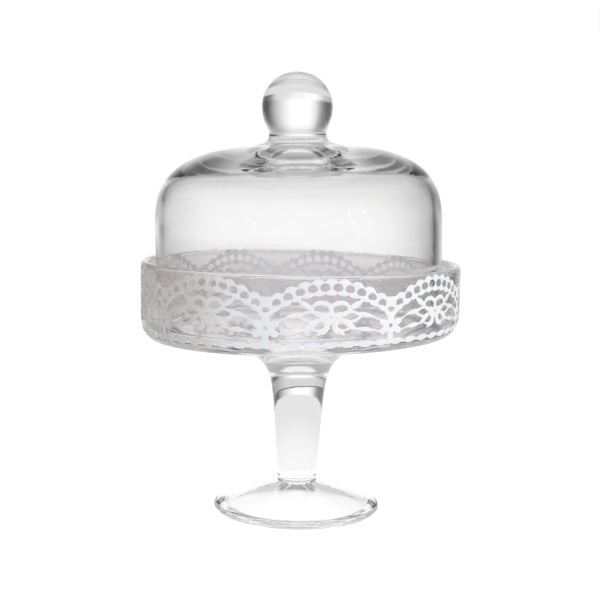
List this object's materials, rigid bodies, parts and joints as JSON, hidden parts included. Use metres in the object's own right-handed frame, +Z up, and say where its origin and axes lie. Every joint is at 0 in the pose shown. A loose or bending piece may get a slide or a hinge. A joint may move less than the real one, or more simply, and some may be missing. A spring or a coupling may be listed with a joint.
{
  "type": "cake stand with dome",
  "caption": "Footed clear glass cake stand with an upright lace-patterned gallery and a lift-off glass dome with a ball knob.",
  "frame": {"origin": "centre of the foot's underside, on the surface that the stand rests on", "axes": "+Z up along the stem, through the middle of the tray, dome and knob; X and Y are alike, because the object is round"},
  "size_m": [0.2154, 0.2154, 0.2962],
  "materials": {
    "clear_glass": "clear, colourless, fire-polished blown glass, smooth and glossy, with faint hand-worked waviness",
    "lace_enamel": "thin opaque white enamel fired onto the glass, satin gloss, with a faint pearl tint"
  },
  "bodies": {
    "stand": {"foot": "clear_glass", "stem_collar": "clear_glass", "stem": "clear_glass", "tray": "clear_glass", "lace_transfer": "lace_enamel"},
    "dome": {"dome_bell": "clear_glass", "knob_neck": "clear_glass", "dome_knob": "clear_glass"}
  },
  "joints": [
    {"name": "dome_lift", "type": "slide", "parent": "stand", "child": "dome", "axis": [0, 0, 1], "range_m": [0, 0.16]}
  ]
}
